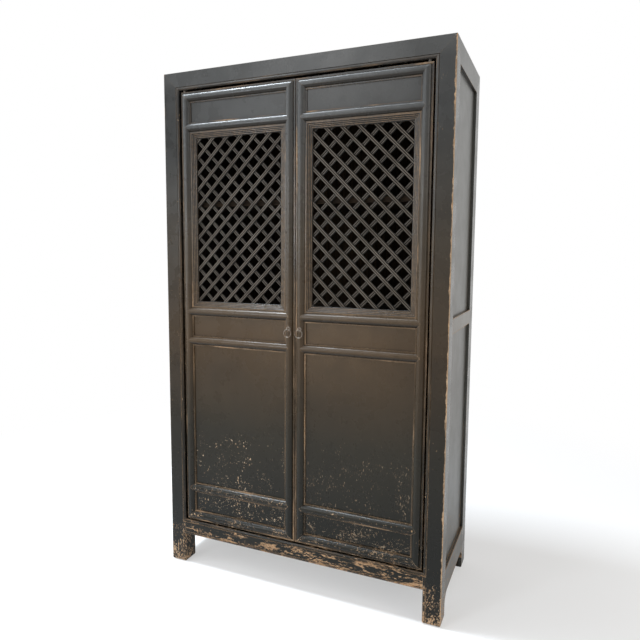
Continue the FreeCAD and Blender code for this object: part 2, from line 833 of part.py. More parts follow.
def stile_outline(x_edge, inward):
    """The stile's section from its free edge: a half-round between two fillets, and a panel groove."""
    crest = x_edge + inward * (s.stile_width - crest_inset)
    fillet = x_edge + inward * (s.stile_width - s.fillet_width)
    inner = x_edge + inward * s.stile_width
    groove = inner - inward * s.door_groove_depth
    return [
        (x_edge, s.door_back_setback),
        (x_edge, s.fillet_setback),
        (x_edge + inward * s.edge_fillet_width, s.fillet_setback),
        (crest, -s.crest_reach, ("x", crest)),
        (fillet, s.fillet_setback, ("x", crest)),
        (inner, s.fillet_setback),
        (inner, s.panel_setback),
        (groove, s.panel_setback),
        (groove, panel_rear),
        (inner, panel_rear),
        (inner, s.door_back_setback),
    ]


def tenon_spans():
    """The heights of the tenons of all the door rails."""
    spans = [(z + s.door_tenon_inset, z + rail_height - s.door_tenon_inset) for z in middle_rails.values()]
    spans.append((s.door_tenon_inset, s.stile_width - s.door_tenon_inset))
    spans.append((top_rail_z + s.door_tenon_inset, door_height - s.door_tenon_inset))
    return spans


def stile(label, x_edge, inward):
    """A stile with a V notch for the point of each rail and a mitre at each end."""
    body = new_body(label, DOOR)
    pad(body, draw(body, "XY_Plane", 0, [stile_outline(x_edge, inward)]), door_height)
    inner = x_edge + inward * s.stile_width
    notches = [[(inner, z), (inner, z + rail_height), (inner - inward * crest_inset, z + rail_height / 2)]
               for z in middle_rails.values()]
    notches.append([(inner, 0), (inner, s.stile_width), (x_edge, 0)])
    notches.append([(inner, door_height), (inner, top_rail_z), (x_edge, door_height)])
    pocket(body, draw(body, "XZ_Plane", -s.shoulder_setback, notches),
           s.shoulder_setback + s.crest_reach + s.overrun, True)
    mortises = [rectangle(s.door_tenon_setback, door_tenon_rear, *span) for span in tenon_spans()]
    pocket(body, draw(body, "YZ_Plane", inner, mortises), s.door_tenon_length, inward < 0)
    return body


def outer_stile():
    body = stile("left_outer_stile", nothing, 1)
    ends = ((door_height, s.top_gap, False), (nothing, s.bottom_gap, True))
    for z, gap, downwards in ends:
        pin = draw_circle(body, "XY_Plane", z, s.pivot_inset, s.pivot_setback, s.pivot_radius)
        pad(body, pin, gap + s.pivot_length - s.pivot_end_gap, downwards)
    return body


def pull_x():
    return door_width - s.pull_inset


def pull_z():
    return s.pull_height - door_bottom


def plate_seat():
    return s.plate_seat_depth - s.crest_reach


def meeting_stile():
    body = stile("left_meeting_stile", door_width, -1)
    seat = draw_circle(body, "XZ_Plane", -plate_seat(), pull_x(), pull_z(), s.plate_radius)
    pocket(body, seat, s.plate_seat_depth + s.overrun, True)
    bore = draw_circle(body, "XZ_Plane", s.overrun, pull_x(), pull_z(), s.shank_radius + s.shank_clearance)
    pocket(body, bore, s.door_back_setback + 2 * s.overrun)
    return body


def rail_back(body, z, height, grooves):
    """The square part of a rail behind its moulding, and the tenons at its ends."""
    outline = [(s.shoulder_setback, z)]
    if "low" in grooves:
        outline += [(s.panel_setback, z), (s.panel_setback, z + s.door_groove_depth),
                    (panel_rear, z + s.door_groove_depth), (panel_rear, z)]
    outline += [(s.door_back_setback, z), (s.door_back_setback, z + height)]
    if "high" in grooves:
        top = z + height
        outline += [(panel_rear, top), (panel_rear, top - s.door_groove_depth),
                    (s.panel_setback, top - s.door_groove_depth), (s.panel_setback, top)]
    outline.append((s.shoulder_setback, z + height))
    pad(body, draw(body, "YZ_Plane", s.stile_width, [outline]), door_inner_right - s.stile_width)
    tenon = rectangle(s.door_tenon_setback, door_tenon_rear,
                      z + s.door_tenon_inset, z + height - s.door_tenon_inset)
    pad(body, draw(body, "YZ_Plane", s.stile_width - s.door_tenon_length, [tenon]),
        door_inner_right - s.stile_width + 2 * s.door_tenon_length)


def middle_rail(label, z):
    """A half-round rail whose ends are V points that reach the crests of the stiles."""
    body = new_body(label, DOOR)
    top, middle = z + rail_height, z + rail_height / 2
    section = [
        (s.shoulder_setback, z),
        (s.fillet_setback, z),
        (s.fillet_setback, z + s.fillet_width),
        (-s.crest_reach, middle, ("y", middle)),
        (s.fillet_setback, top - s.fillet_width, ("y", middle)),
        (s.fillet_setback, top),
        (s.shoulder_setback, top),
    ]
    left_tip, right_tip = s.stile_width - crest_inset, door_inner_right + crest_inset
    pad(body, draw(body, "YZ_Plane", left_tip, [section]), right_tip - left_tip)
    corners = []
    for tip, shoulder in ((left_tip, s.stile_width), (right_tip, door_inner_right)):
        corners.append([(tip, z), (shoulder, z), (tip, middle)])
        corners.append([(tip, top), (shoulder, top), (tip, middle)])
    pocket(body, draw(body, "XZ_Plane", -s.shoulder_setback, corners),
           s.shoulder_setback + s.crest_reach + s.overrun, True)
    rail_back(body, z, rail_height, ("low", "high"))
    return body


def end_rail(label, z, upward):
    """The top or bottom rail of a door, with the stiles' section and mitred corners."""
    body = new_body(label, DOOR)
    panel_edge = z if upward > 0 else z + s.stile_width
    free_edge = z + s.stile_width if upward > 0 else z
    crest = panel_edge + upward * crest_inset
    section = [
        (s.shoulder_setback, panel_edge),
        (s.fillet_setback, panel_edge),
        (s.fillet_setback, panel_edge + upward * s.fillet_width),
        (-s.crest_reach, crest, ("y", crest)),
        (s.fillet_setback, free_edge - upward * s.edge_fillet_width, ("y", crest)),
        (s.fillet_setback, free_edge),
        (s.shoulder_setback, free_edge),
    ]
    pad(body, draw(body, "YZ_Plane", 0, [section]), door_width)
    corners = [[(x_edge, panel_edge), (shoulder, panel_edge), (x_edge, free_edge)]
               for x_edge, shoulder in ((0, s.stile_width), (door_width, door_inner_right))]
    pocket(body, draw(body, "XZ_Plane", -s.shoulder_setback, corners),
           s.shoulder_setback + s.crest_reach + s.overrun, True)
    rail_back(body, z, s.stile_width, ("low",) if upward > 0 else ("high",))
    return body


def reeded_section(edge):
    """The lattice frame's section: a tongue, rounded reeds falling inwards and a rebate behind."""
    reeds = [(edge, s.fillet_setback)]
    for reed in range(REED_COUNT):
        start, depth = reeds[-1][:2]
        reeds.append((start + s.reed_width, depth + s.reed_step, ("x", start)))
    inner, depth = reeds[-1][:2]
    lip_back = depth + s.lip_thickness
    return reeds + [
        (inner, lip_back),
        (inner - s.lattice_rebate, lip_back),
        (inner - s.lattice_rebate, s.door_back_setback),
        (edge, s.door_back_setback),
        (edge, panel_rear),
        (edge - s.door_groove_depth, panel_rear),
        (edge - s.door_groove_depth, s.panel_setback),
        (edge, s.panel_setback),
    ]


def lattice_member(label, upright):
    """One member of the lattice frame: the hinge-side upright or the lower rail."""
    body = new_body(label, DOOR)
    x_low, x_high = s.stile_width, door_inner_right
    z_low, z_high = lattice_z, lattice_z + lattice_height
    tongue = s.door_groove_depth
    run = REED_COUNT * s.reed_width
    if upright:
        pad(body, draw(body, "XY_Plane", z_low - tongue, [reeded_section(x_low)]),
            z_high - z_low + 2 * tongue)
        mitres = [[(x_low - tongue, z - side * tongue), (x_low + run, z + side * run),
                   (x_low + run, z - side * tongue)]
                  for z, side in ((z_low, 1), (z_high, -1))]
    else:
        pad(body, draw(body, "YZ_Plane", x_low - tongue, [turned(reeded_section(z_low))]),
            x_high - x_low + 2 * tongue)
        mitres = [[(x - side * tongue, z_low - tongue), (x + side * run, z_low + run),
                   (x - side * tongue, z_low + run)]
                  for x, side in ((x_low, 1), (x_high, -1))]
    pocket(body, draw(body, "XZ_Plane", -s.panel_setback + s.overrun, mitres),
           s.door_back_setback, False)
    return body


def lattice_frame():
    upright = lattice_member("lattice_upright", True)
    rail = lattice_member("lattice_cross", False)
    middle = shifted(DOOR, door_width / 2, 0, lattice_z + lattice_height / 2)
    other_upright = mirror(upright, "lattice_other_upright", middle)
    other_rail = mirror(rail, "lattice_other_cross", middle, (0, 0, 1))
    return combine("Compound", "left_lattice_frame", [upright, other_upright, rail, other_rail])


def lattice_bars(label, front, leaning, phase_share):
    """One layer of parallel bars, cut to the rebate of the lattice frame.

    leaning is 1 where the bars rise to the right and -1 where they rise to the left.
    """
    body = new_body(f"{label}_run", DOOR)
    body.AllowCompound = True
    half = s.bar_width / 2
    rear = front + s.bar_thickness
    edge = REED_COUNT * s.reed_width - s.lattice_rebate
    width = door_inner_right - s.stile_width - 2 * edge
    height = lattice_height - 2 * edge
    steps_each_way = math.ceil((width.number + height.number) / s.bar_spacing.number)
    pitch = s.bar_spacing * math.cos(math.radians(LATTICE_ANGLE))
    middle = -pitch * steps_each_way
    section = [
        (middle - half, rear),
        (middle - half, front + s.bar_chamfer),
        (middle - half + s.bar_chamfer, front),
        (middle - s.bar_groove_half_width, front),
        (middle, front + s.bar_groove_depth),
        (middle + s.bar_groove_half_width, front),
        (middle + half - s.bar_chamfer, front),
        (middle + half, front + s.bar_chamfer),
        (middle + half, rear),
    ]
    sketch = draw(body, "XY_Plane", -(width + height), [section])
    bar = pad(body, sketch, 2 * (width + height))
    pattern = body.newObject("PartDesign::LinearPattern", f"{label}_pattern")
    pattern.Originals = [bar]
    pattern.Direction = (sketch, ["H_Axis"])
    bind(pattern, "Length", 2 * pitch * steps_each_way)
    pattern.Occurrences = 2 * steps_each_way + 1
    body.Tip = pattern
    body.Placement = FreeCAD.Placement(
        FreeCAD.Vector(0, 0, 0), FreeCAD.Rotation(FreeCAD.Vector(0, 1, 0), leaning * LATTICE_ANGLE))
    window_left, window_top = s.stile_width + edge, lattice_z + lattice_height - edge
    place(body, shifted(DOOR, window_left + s.bar_spacing * phase_share, 0, window_top))
    window = box(f"{label}_window", DOOR, (window_left, window_left + width),
                 (front, rear), (window_top - height, window_top))
    return combine("MultiCommon", label, [body, window])


def pull_plate():
    plate_front = plate_seat() - s.plate_thickness
    disc = cylinder_along_y("plate_disc", DOOR, pull_x(), (plate_front, plate_seat()), pull_z(),
                            s.plate_radius)
    bore = cylinder_along_y("plate_bore", DOOR, pull_x(),
                            (plate_front - s.overrun, plate_seat() + s.overrun), pull_z(),
                            s.shank_radius + s.shank_clearance)
    return combine("Cut", "left_pull_plate", [disc, bore])


def pull_staple():
    """An eye on a shank that goes through the stile and is clinched behind it."""
    eye_y = -eye_reach
    eye = torus("eye", DOOR, pull_x(), eye_y, pull_z(), "x", s.eye_radius, s.eye_wire_radius)
    shank_front = eye_y + s.eye_radius
    shank_rear = s.door_back_setback + s.clinch_thickness
    shank = cylinder_along_y("shank", DOOR, pull_x(), (shank_front, shank_rear), pull_z(), s.shank_radius)
    half = s.clinch_width / 2
    clinch = box("clinch", DOOR, (pull_x() - half, pull_x() + half),
                 (s.door_back_setback, shank_rear),
                 (pull_z() - s.clinch_length, pull_z() + s.clinch_length))
    return combine("MultiFuse", "left_pull_staple", [eye, shank, clinch])


def ring_drop():
    """How far the ring's wire hangs below the middle of the eye."""
    return s.eye_radius - s.eye_wire_radius - s.ring_wire_radius - s.ring_rest_gap


def pull_ring():
    z = pull_z() - ring_drop() - s.ring_radius
    return torus("left_pull_ring", DOOR, pull_x(), -eye_reach, z, "y", s.ring_radius, s.ring_wire_radius)


def make_doors():
    keep_pair("left_outer_stile", outer_stile())
    keep_pair("left_meeting_stile", meeting_stile())
    keep_pair("left_top_rail", end_rail("left_top_rail", top_rail_z, 1))
    keep_pair("left_bottom_rail", end_rail("left_bottom_rail", nothing, -1))
    for name, z in middle_rails.items():
        keep_pair(f"left_{name}", middle_rail(f"left_{name}", z))
    for name, (z, height) in door_panels.items():
        keep_pair(f"left_{name}", box(
            f"left_{name}", DOOR,
            (s.stile_width - s.door_groove_depth, door_inner_right + s.door_groove_depth),
            (s.panel_setback, panel_rear),
            (z - s.door_groove_depth, z + height + s.door_groove_depth)))
    keep_pair("left_lattice_frame", lattice_frame())
    front_layer = s.fillet_setback + REED_COUNT * s.reed_step + s.lip_thickness
    back_layer = front_layer + s.bar_thickness
    keep_pair("left_front_lattice_bars",
              lattice_bars("left_front_lattice_bars", front_layer, 1, FRONT_BAR_PHASE_SHARE))
    keep_pair("left_back_lattice_bars",
              lattice_bars("left_back_lattice_bars", back_layer, -1, BACK_BAR_PHASE_SHARE))
    keep_pair("left_pull_plate", pull_plate())
    keep_pair("left_pull_staple", pull_staple())
    keep_pair("left_pull_ring", pull_ring())


def check_model():
    """Stop if any object failed, any cut missed its piece, or any kept shape is unsound."""
    for item in doc.Objects:
        if "Invalid" in item.State or "Error" in item.State:
            raise RuntimeError(f"{item.Name} failed: {item.State}")
        if item.TypeId == "PartDesign::Pocket":
            if item.Shape.Volume > item.BaseFeature.Shape.Volume * (1 - LEAST_CUT_SHARE):
                raise RuntimeError(f"{item.Name} cuts nothing")
    for name, item in nodes.items():
        if item.Shape.isNull() or not item.Shape.isValid() or not item.Shape.Solids:
            raise RuntimeError(f"{name} has no sound shape")


make_carcass()
make_shelves()
make_doors()
doc.recompute()
check_model()

os.makedirs("parts", exist_ok=True)
for name, item in nodes.items():
    item.Shape.exportStep(f"parts/{name}.step")
    print(name, len(item.Shape.Solids), round(item.Shape.Volume))
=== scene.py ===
import math

import bpy
from mathutils import Matrix, Vector


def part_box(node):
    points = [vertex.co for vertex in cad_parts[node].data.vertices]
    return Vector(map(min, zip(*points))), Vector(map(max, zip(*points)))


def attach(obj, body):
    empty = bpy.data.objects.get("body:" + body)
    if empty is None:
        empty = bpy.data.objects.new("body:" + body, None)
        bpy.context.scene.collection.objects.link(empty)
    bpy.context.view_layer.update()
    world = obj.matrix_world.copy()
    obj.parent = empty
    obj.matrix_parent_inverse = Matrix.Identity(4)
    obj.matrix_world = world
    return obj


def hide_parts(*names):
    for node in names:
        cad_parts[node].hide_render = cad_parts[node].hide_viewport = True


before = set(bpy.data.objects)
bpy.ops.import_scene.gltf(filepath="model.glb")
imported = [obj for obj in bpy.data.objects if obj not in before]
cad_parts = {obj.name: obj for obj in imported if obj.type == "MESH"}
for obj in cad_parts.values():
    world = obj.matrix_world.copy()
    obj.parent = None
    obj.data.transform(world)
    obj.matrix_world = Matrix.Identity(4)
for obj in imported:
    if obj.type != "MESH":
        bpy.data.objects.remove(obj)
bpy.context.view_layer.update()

# A book cabinet in old black lacquer, worn and chipped low down, with dust on its sides and its back.
# Its front faces -Y, and all places and lengths are in metres.

# Places on the cabinet, read from its pieces

CABINET_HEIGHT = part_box("top_front_rail")[1].z
CABINET_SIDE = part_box("top_right_rail")[1].x
CABINET_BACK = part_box("top_rear_rail")[1].y
FRONT_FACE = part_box("top_front_rail")[0].y
OPENING_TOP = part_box("top_front_rail")[0].z
OPENING_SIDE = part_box("front_right_post")[0].x
FILLET_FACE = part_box("left_lattice_frame")[0].y
FRONT_BARS_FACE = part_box("left_front_lattice_bars")[0].y
BACK_BARS_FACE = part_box("left_back_lattice_bars")[0].y
FRONT_RAIL_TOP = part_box("bottom_front_rail")[1].z
FRONT_RAIL_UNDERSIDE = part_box("bottom_front_rail")[0].z

# Sizes of the mouldings that the wear follows

REED_STEP = 0.00225
BEAD_HALF_WIDTH = 0.005
BAR_GROOVE_DEPTH = 0.0016

# How far in from the outline the dusty outer faces lie, and how far in the inside starts

SIDE_FACES_DEPTH = 0.0115
BACK_FACES_DEPTH = 0.0135
INSIDE_DEPTH = 0.012
INSIDE_BEHIND_BARS = 0.030

# Colours, as linear red, green and blue

GREEN_BLACK = (0.0062, 0.0062, 0.0040, 1)
DEEP_BROWN = (0.020, 0.017, 0.011, 1)
# Painted reflection of the room in the lacquer, laid out by height: a warm brown, then greys, the top one
# also dust
WARM_REFLECTION_BROWN = (0.058, 0.036, 0.018, 1)
GREY_BROWN = (0.056, 0.043, 0.029, 1)
DUST_AND_REFLECTION_GREY = (0.062, 0.062, 0.060, 1)
BLACK_LACQUER = (0.006, 0.006, 0.005, 1)
SIDE_DUST = (0.074, 0.075, 0.068, 1)
RAIL_DUST = (0.120, 0.110, 0.092, 1)
# Dirt and painted shade, in corners, gaps and the valleys of the reeds
DIRT_AND_SHADE_BLACK = (0.003, 0.0028, 0.002, 1)
BARE_WOOD = (0.36, 0.205, 0.098, 1)
DARK_BARE_WOOD = (0.13, 0.070, 0.032, 1)
PALE_WOOD = (0.44, 0.34, 0.235, 1)
RUBBED_BROWN = (0.15, 0.095, 0.052, 1)
# Painted shade for the faces that look down
UNDERSIDE_SHADE_BROWN = (0.012, 0.009, 0.006, 1)
BAR_GREY = (0.105, 0.086, 0.067, 1)
BAR_BROWN = (0.040, 0.029, 0.019, 1)
# Inside wood, dark with age and with painted shade
INSIDE_WOOD = (0.030, 0.019, 0.011, 1)
INSIDE_WOOD_DARK = (0.012, 0.008, 0.005, 1)
IRON = (0.20, 0.18, 0.155, 1)
RUST = (0.12, 0.065, 0.035, 1)

# The lacquer's colour by height above the floor: green-black low down, then a warm brown that is painted
# reflection, and grey on top that is painted reflection and dust
HEIGHT_TONES = (
    (0.25, GREEN_BLACK),
    (0.55, DEEP_BROWN),
    (0.90, WARM_REFLECTION_BROWN),
    (1.25, GREY_BROWN),
    (1.65, DUST_AND_REFLECTION_GREY),
)

# How the grain stretches a pattern along the length of a piece
ALONG = {
    "upright": (1.0, 1.0, 0.07),
    "across": (0.07, 1.0, 1.0),
    "deep": (1.0, 0.07, 1.0),
}

# Kinds of chips: how they are drawn out, and how ragged they are
BLOBS = ((1.0, 1.0, 0.75), 1.5)
UPRIGHT_FLECKS = ((1.0, 1.0, 0.30), 2.5)
LEVEL_DASHES = ((0.28, 1.0, 1.0), 2.5)


class NodeTree:
    """A tree of shader nodes, with short ways to work one value out from another."""

    def __init__(self, tree):
        self.tree = tree

    def add(self, kind, inputs=(), **settings):
        node = self.tree.nodes.new(kind)
        for name, value in settings.items():
            setattr(node, name, value)
        for key, value in dict(inputs).items():
            self.feed(node.inputs[key], value)
        return node

    def feed(self, socket, value):
        """Link another node's output to a socket, or set the socket to a plain value."""
        if isinstance(value, bpy.types.NodeSocket):
            self.tree.links.new(value, socket)
        else:
            socket.default_value = value

    def span(self, value, low, high, start=0.0, end=1.0, smooth=True):
        """What goes from start to end while the value goes from low to high, and stays there."""
        return self.add("ShaderNodeMapRange", {
            "Value": value, "From Min": low, "From Max": high, "To Min": start, "To Max": end},
            interpolation_type="SMOOTHSTEP" if smooth else "LINEAR").outputs["Result"]

    def above(self, value, limit, blend):
        """0 up to a limit, and 1 from a blend above it."""
        return self.span(value, limit, limit + blend)

    def below(self, value, limit, blend):
        """0 from a limit up, and 1 from a blend below it."""
        return self.span(value, limit, limit - blend)

    def maths(self, operation, first, second=0.0):
        return self.add("ShaderNodeMath", {0: first, 1: second}, operation=operation).outputs[0]

    def times(self, first, second):
        return self.maths("MULTIPLY", first, second)

    def plus(self, first, second):
        return self.maths("ADD", first, second)

    def minus(self, first, second):
        return self.maths("SUBTRACT", first, second)

    def most(self, first, second):
        return self.maths("MAXIMUM", first, second)

    def magnitude(self, value):
        return self.maths("ABSOLUTE", value)

    def seen(self):
        """1 for what is seen straight, in a reflection or through glass, and 0 for the light it sheds."""
        path = self.add("ShaderNodeLightPath")
        seen = self.most(path.outputs["Is Camera Ray"], path.outputs["Is Glossy Ray"])
        return self.most(seen, path.outputs["Is Transmission Ray"])


class Finish(NodeTree):
    """A material, whose patterns lie fixed on the cabinet."""

    def __init__(self, name):
        self.material = bpy.data.materials.new(name)
        self.material.use_nodes = True
        super().__init__(self.material.node_tree)
        self.shader = self.tree.nodes["Principled BSDF"]
        self.place = self.add("ShaderNodeTexCoord").outputs["Object"]
        self.places = {}

    def set(self, **inputs):
        """Set the shader's inputs, named with underscores for spaces."""
        for name, value in inputs.items():
            self.feed(self.shader.inputs[name.replace("_", " ")], value)

    def stretched(self, stretch, shift):
        """The place on the cabinet, stretched and shifted, made once for each pair."""
        key = (stretch, shift)
        if key not in self.places:
            node = self.add("ShaderNodeMapping", {"Vector": self.place, "Scale": stretch, "Location": shift})
            self.places[key] = node.outputs["Vector"]
        return self.places[key]

    def noise(self, scale, detail, roughness, stretch=(1, 1, 1), distortion=0.0, shift=(0, 0, 0)):
        """Cloudy noise from 0 to 1, with scale of its spots to a metre."""
        return self.add("ShaderNodeTexNoise", {
            "Vector": self.stretched(stretch, shift), "Scale": scale, "Detail": detail,
            "Roughness": roughness, "Distortion": distortion}).outputs["Fac"]

    def axis(self, letter):
        """The place along an axis."""
        if letter not in self.places:
            node = self.add("ShaderNodeSeparateXYZ", {"Vector": self.place})
            for index, name in enumerate("xyz"):
                self.places[name] = node.outputs[index]
        return self.places[letter]

    def aside(self):
        """How far to the left or right of the middle a place is."""
        return self.magnitude(self.axis("x"))

    def blend(self, amount, under, over):
        """One colour laid over another by an amount from 0 to 1."""
        node = self.add("ShaderNodeMix", {"Factor": amount, 6: under, 7: over}, data_type="RGBA")
        return node.outputs[2]

    def tones(self, value, stops):
        """A colour that passes through the stops as the value grows."""
        node = self.add("ShaderNodeValToRGB", {"Fac": value})
        elements = node.color_ramp.elements
        elements[0].position, elements[0].color = stops[0]
        elements[1].position, elements[1].color = stops[-1]
        for position, colour in stops[1:-1]:
            elements.new(position).color = colour
        return node.outputs["Color"]

    def normal(self):
        return self.add("ShaderNodeNewGeometry").outputs["Normal"]

    def facing(self, letter):
        """How far the surface faces along an axis, from -1 to 1."""
        return self.add("ShaderNodeSeparateXYZ", {0: self.normal()}).outputs[letter]

    def edges(self, reach):
        """Where a surface turns sharply within a reach: arrises, fillets and groove lips."""
        rounded = self.add("ShaderNodeBevel", {"Radius": reach}, samples=6).outputs["Normal"]
        likeness = self.add("ShaderNodeVectorMath", {0: rounded, 1: self.normal()}, operation="DOT_PRODUCT")
        return self.span(likeness.outputs["Value"], 0.98, 0.84)

    def crevice_dirt_and_shade(self, reach):
        """Where other surfaces stand close: corners, rebates and gaps, darkened with dirt and painted shade.
        """
        open_share = self.add("ShaderNodeAmbientOcclusion", {"Distance": reach}, samples=6).outputs["AO"]
        return self.span(open_share, 0.75, 0.30)

    def bump(self, height, strength, distance, under=None):
        """A surface raised by a pattern, over another such pattern if one is given."""
        inputs = {"Strength": strength, "Distance": distance, "Height": height}
        if under is not None:
            inputs["Normal"] = under
        return self.add("ShaderNodeBump", inputs).outputs["Normal"]


# Colours of the lacquer and of the wood under it


def lacquer_colour(finish, darker):
    """Old black lacquer, cloudy, with painted reflection in its tones by height, and darker by a share of
    black below the top rail and by painted shade at the upper left.
    """
    stops = [(height / CABINET_HEIGHT, tone) for height, tone in HEIGHT_TONES]
    colour = finish.tones(finish.maths("DIVIDE", finish.axis("z"), CABINET_HEIGHT), stops)
    clouds = finish.noise(5.0, 5.0, 0.6, distortion=0.4)
    cloudy = finish.span(clouds, 0.38, 0.72, 0.0, 0.22)
    below_top = finish.span(finish.axis("z"), OPENING_TOP - 0.03, CABINET_HEIGHT, darker, 0.0)
    # Painted shade: the upper left of the front is darker
    painted_shade_left = finish.times(finish.span(finish.axis("x"), -0.10, -0.50, 0.0, 0.32),
                           finish.span(finish.axis("z"), 1.25, 1.60))
    return finish.blend(finish.plus(finish.plus(cloudy, below_top), painted_shade_left), colour, BLACK_LACQUER)


def wood_colour(finish, grain, paleness):
    """The wood and undercoat that show where the lacquer is gone."""
    streaks = finish.noise(260.0, 5.0, 0.65, stretch=ALONG[grain])
    colour = finish.blend(finish.span(streaks, 0.36, 0.62), DARK_BARE_WOOD, BARE_WOOD)
    pale = finish.noise(120.0, 2.0, 0.5, shift=(0.8, 0.2, 0.6))
    return finish.blend(finish.span(pale, 0.40, 0.62, paleness * 0.3, paleness), colour, PALE_WOOD)


def inside_colour(finish, grain):
    """Bare wood darkened with age, and painted darker still as the shade inside the cabinet."""
    streaks = finish.noise(180.0, 5.0, 0.6, stretch=ALONG[grain])
    stains = finish.noise(5.0, 4.0, 0.6, shift=(0.6, 0.9, 0.2))
    colour = finish.blend(finish.span(streaks, 0.35, 0.65), INSIDE_WOOD_DARK, INSIDE_WOOD)
    return finish.blend(finish.span(stains, 0.40, 0.70, 0.0, 0.5), colour, INSIDE_WOOD_DARK)


# Places on the cabinet that have dust or wear of their own, and places with painted shade or highlight


def indoors(finish):
    """The faces that look into the cabinet, which have no lacquer and no dust."""
    behind_doors = finish.above(finish.axis("y"), FRONT_BARS_FACE + INSIDE_BEHIND_BARS, 0.010)
    before_back = finish.below(finish.axis("y"), CABINET_BACK - INSIDE_DEPTH, 0.004)
    between_sides = finish.below(finish.aside(), CABINET_SIDE - INSIDE_DEPTH, 0.004)
    under_top = finish.below(finish.axis("z"), CABINET_HEIGHT - INSIDE_DEPTH, 0.004)
    return finish.times(finish.times(behind_doors, before_back), finish.times(between_sides, under_top))


def side_dust(finish):
    """Grey dust on the sides and the back of the cabinet, uneven, and thinner towards the floor."""
    on_side = finish.above(finish.aside(), CABINET_SIDE - SIDE_FACES_DEPTH, 0.001)
    on_back = finish.above(finish.axis("y"), CABINET_BACK - BACK_FACES_DEPTH, 0.001)
    smears = finish.noise(4.0, 5.0, 0.6, stretch=(1, 1, 0.4), shift=(0.4, 0.1, 0.8))
    outer = finish.times(finish.most(on_side, on_back), finish.span(smears, 0.36, 0.66, 0.62, 1.0))
    behind_front = finish.above(finish.axis("y"), FRONT_FACE + 0.0002, 0.0006)
    thin = finish.span(finish.axis("z"), 0.0, 0.6, 0.45, 1.0)
    return finish.times(finish.times(outer, behind_front), thin)


def shaded_undersides(finish):
    """Painted shade on the faces that look down, deeper higher up."""
    return finish.times(finish.span(finish.facing("Z"), -0.08, -0.55),
                        finish.span(finish.axis("z"), 0.3, 1.0, 0.6, 0.9))


def on_fillets(finish):
    return finish.below(finish.magnitude(finish.minus(finish.axis("y"), FILLET_FACE)), 0.0012, 0.0006)


def rubbed_fillets(finish, grain):
    """The flat fillets on both sides of each half-round, and the door's edges, rubbed brown in streaks."""
    streaks = finish.noise(60.0, 5.0, 0.6, stretch=ALONG[grain], shift=(0.1, 0.3, 0.5))
    rubbed = finish.times(on_fillets(finish), finish.span(streaks, 0.42, 0.66, 0.0, 0.6))
    across = finish.facing("X" if grain == "upright" else "Z")
    door_edge = finish.times(finish.above(finish.magnitude(across), 0.90, 0.07),
                             finish.above(finish.axis("y"), FILLET_FACE + 0.0008, 0.0012))
    return finish.most(rubbed, finish.times(door_edge, 0.6))


def worn_fillets(finish, grain):
    """The fillets, worn through to the wood in thin broken lines."""
    streaks = finish.noise(55.0, 5.0, 0.6, stretch=ALONG[grain], shift=(0.6, 0.2, 0.8))
    stretches = finish.noise(7.0, 3.0, 0.5, shift=(0.2, 0.5, 0.1))
    low = finish.span(finish.axis("z"), 1.2, 0.2, 0.0, 0.05, smooth=False)
    level = finish.plus(finish.plus(streaks, finish.times(stretches, 0.4)), low)
    return finish.times(on_fillets(finish), finish.span(level, 0.77, 0.88, 0.0, 0.7))


def reed_fall(finish):
    """How far down its reed a place on the lattice frame is, from 0 at the crest to 1 in the valley."""
    steps = finish.maths("DIVIDE", finish.minus(finish.axis("y"), FILLET_FACE), REED_STEP)
    return finish.maths("FRACT", finish.plus(steps, 0.02))


def rubbed_and_lit_reed_crests(finish, grain):
    """The crests of the reeds, rubbed brown in patches, the brown also a painted highlight along them."""
    patches = finish.noise(75.0, 5.0, 0.6, shift=(0.1, 0.3, 0.5))
    crest = finish.span(reed_fall(finish), 0.22, 0.06)
    return finish.times(crest, finish.span(patches, 0.40, 0.65, 0.35, 0.95))


# The valleys of the reeds, darkened with dirt and painted shade
def reed_valleys(finish):
    return finish.span(reed_fall(finish), 0.30, 0.60, 0.0, 0.9)


def near(finish, letter, middle, reach):
    """1 within reach of a place along an axis, on both sides of the cabinet, and 0 beyond it."""
    away = finish.magnitude(finish.minus(finish.magnitude(finish.axis(letter)), middle))
    return finish.below(away, reach, reach * 0.2)


def opening_bead(finish, grain):
    """The bead round the door opening and under the bottom rail, rubbed brown in thin streaks, and painted
    brown most strongly where it turns in towards the gaps, as painted light in their shade.
    """
    if grain == "upright":
        place = near(finish, "x", OPENING_SIDE + BEAD_HALF_WIDTH, BEAD_HALF_WIDTH)
    else:
        place = finish.most(near(finish, "z", OPENING_TOP + BEAD_HALF_WIDTH, BEAD_HALF_WIDTH),
                            near(finish, "z", FRONT_RAIL_TOP - BEAD_HALF_WIDTH, BEAD_HALF_WIDTH))
        place = finish.most(place, near(finish, "z", FRONT_RAIL_UNDERSIDE + BEAD_HALF_WIDTH, BEAD_HALF_WIDTH))
    streaks = finish.noise(120.0, 5.0, 0.65, stretch=ALONG[grain], shift=(0.7, 0.3, 0.2))
    # Painted light: the faces turned in towards the gaps are brown at full strength, to lift their shade
    turned_in_lightened = finish.span(finish.axis("y"), FRONT_FACE + 0.0002, FRONT_FACE + 0.0030, 0.25, 1.0)
    in_front = finish.below(finish.axis("y"), FRONT_FACE + 0.036, 0.006)
    place = finish.times(finish.times(place, in_front), turned_in_lightened)
    return finish.times(place, finish.span(streaks, 0.44, 0.64, 0.0, 0.75))


